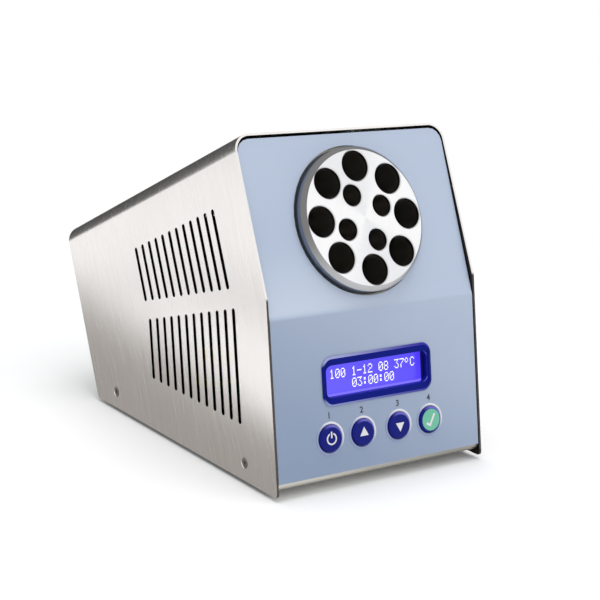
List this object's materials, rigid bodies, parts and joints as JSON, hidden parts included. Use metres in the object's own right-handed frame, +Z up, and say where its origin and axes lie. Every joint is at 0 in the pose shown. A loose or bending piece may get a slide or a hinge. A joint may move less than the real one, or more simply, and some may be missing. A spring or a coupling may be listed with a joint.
{
  "type": "platelet-rich plasma incubator",
  "caption": "Bench-top incubator for plasma tubes: a folded steel case with side vents, a leaning blue front with a round heated block of tube wells, a lit display and push keys.",
  "frame": {"origin": "on the table, under the middle of the casing's length and width", "axes": "+Z up; the front with the display looks along -Y; +X is on the right of someone who faces the front"},
  "size_m": [0.136, 0.2338, 0.1795],
  "materials": {
    "brushed_steel": "folded stainless sheet, fine brushed lines",
    "screw_steel": "plated screw",
    "panel_blue": "pale blue coating, satin",
    "plate_steel": "bare folded sheet",
    "tray_steel": "bare folded sheet, dull",
    "rear_steel": "bare folded sheet",
    "flange_screw_steel": "plated screw",
    "foot_rubber": "moulded black rubber",
    "block_aluminium": "turned and drilled, clear anodised",
    "ring_polymer": "machined heat-resisting plastic",
    "ring_screw_steel": "plated screw",
    "heater_silicone": "silicone mat",
    "lagging_foam": "closed-cell foam",
    "bracket_steel": "bare folded sheet",
    "sensor_metal": "plated brass",
    "bezel_navy": "moulded, glossy",
    "frame_steel": "blackened sheet",
    "display_blue": "lit blue display window",
    "board_green": "circuit board",
    "post_nylon": "nylon",
    "key_navy": "moulded, satin",
    "key_switch_black": "moulded",
    "core_iron": "varnished laminations",
    "sink_black": "black anodised extrusion",
    "relay_blue": "moulded",
    "inlet_black": "moulded",
    "drawer_black": "moulded",
    "switch_black": "moulded"
  },
  "bodies": {
    "casing": {"base_tray": "tray_steel", "block_bracket": "bracket_steel", "block_head": "block_aluminium", "block_ring": "ring_polymer", "cover": "brushed_steel", "cover_screw_left_front": "screw_steel", "cover_screw_left_rear": "screw_steel", "cover_screw_right_front": "screw_steel", "cover_screw_right_rear": "screw_steel", "display_bezel": "bezel_navy", "display_board": "board_green", "display_frame": "frame_steel", "display_glass": "display_blue", "display_post_1": "post_nylon", "display_post_2": "post_nylon", "display_post_3": "post_nylon", "display_post_4": "post_nylon", "foot_left_front": "foot_rubber", "foot_left_rear": "foot_rubber", "foot_right_front": "foot_rubber", "foot_right_rear": "foot_rubber", "front_panel": "panel_blue", "front_plate": "plate_steel", "heat_sink": "sink_black", "heater_band": "heater_silicone", "heater_relay": "relay_blue", "heating_block": "block_aluminium", "key_board": "board_green", "key_post_1": "post_nylon", "key_post_2": "post_nylon", "key_post_3": "post_nylon", "key_post_4": "post_nylon", "lagging_sleeve": "lagging_foam", "mains_inlet": "inlet_black", "rear_panel": "rear_steel", "rear_screw_left": "flange_screw_steel", "rear_screw_right": "flange_screw_steel", "ring_screw_1": "ring_screw_steel", "ring_screw_2": "ring_screw_steel", "ring_screw_3": "ring_screw_steel", "ring_screw_4": "ring_screw_steel", "supply_board": "board_green", "supply_post_1": "post_nylon", "supply_post_2": "post_nylon", "supply_post_3": "post_nylon", "supply_post_4": "post_nylon", "switch_box": "switch_black", "switch_down": "key_switch_black", "switch_power": "key_switch_black", "switch_set": "key_switch_black", "switch_up": "key_switch_black", "temperature_probe": "sensor_metal", "thermal_cutout": "sensor_metal", "transformer": "core_iron"},
    "key_power": {"key_power": "key_navy"},
    "key_up": {"key_up": "key_navy"},
    "key_down": {"key_down": "key_navy"},
    "key_set": {"key_set": "key_navy"},
    "fuse_drawer": {"fuse_drawer": "drawer_black"},
    "power_rocker": {"power_rocker": "switch_black"}
  },
  "joints": [
    {"name": "key_power_press", "type": "slide", "parent": "casing", "child": "key_power", "axis": [0, 0.9867, -0.1625], "range_m": [0, 0.0008], "stiffness_N_per_m": 400, "springref_m": -0.001},
    {"name": "key_up_press", "type": "slide", "parent": "casing", "child": "key_up", "axis": [0, 0.9867, -0.1625], "range_m": [0, 0.0008], "stiffness_N_per_m": 400, "springref_m": -0.001},
    {"name": "key_down_press", "type": "slide", "parent": "casing", "child": "key_down", "axis": [0, 0.9867, -0.1625], "range_m": [0, 0.0008], "stiffness_N_per_m": 400, "springref_m": -0.001},
    {"name": "key_set_press", "type": "slide", "parent": "casing", "child": "key_set", "axis": [0, 0.9867, -0.1625], "range_m": [0, 0.0008], "stiffness_N_per_m": 400, "springref_m": -0.001},
    {"name": "fuse_drawer_slide", "type": "slide", "parent": "casing", "child": "fuse_drawer", "axis": [0, 0.9107, -0.4131], "range_m": [0, 0.015]},
    {"name": "power_rocker_tilt", "type": "hinge", "parent": "casing", "child": "power_rocker", "pos_m": [0.03, 0.09175, 0.05091], "axis": [1, 0, 0], "range_deg": [0, 20]}
  ]
}
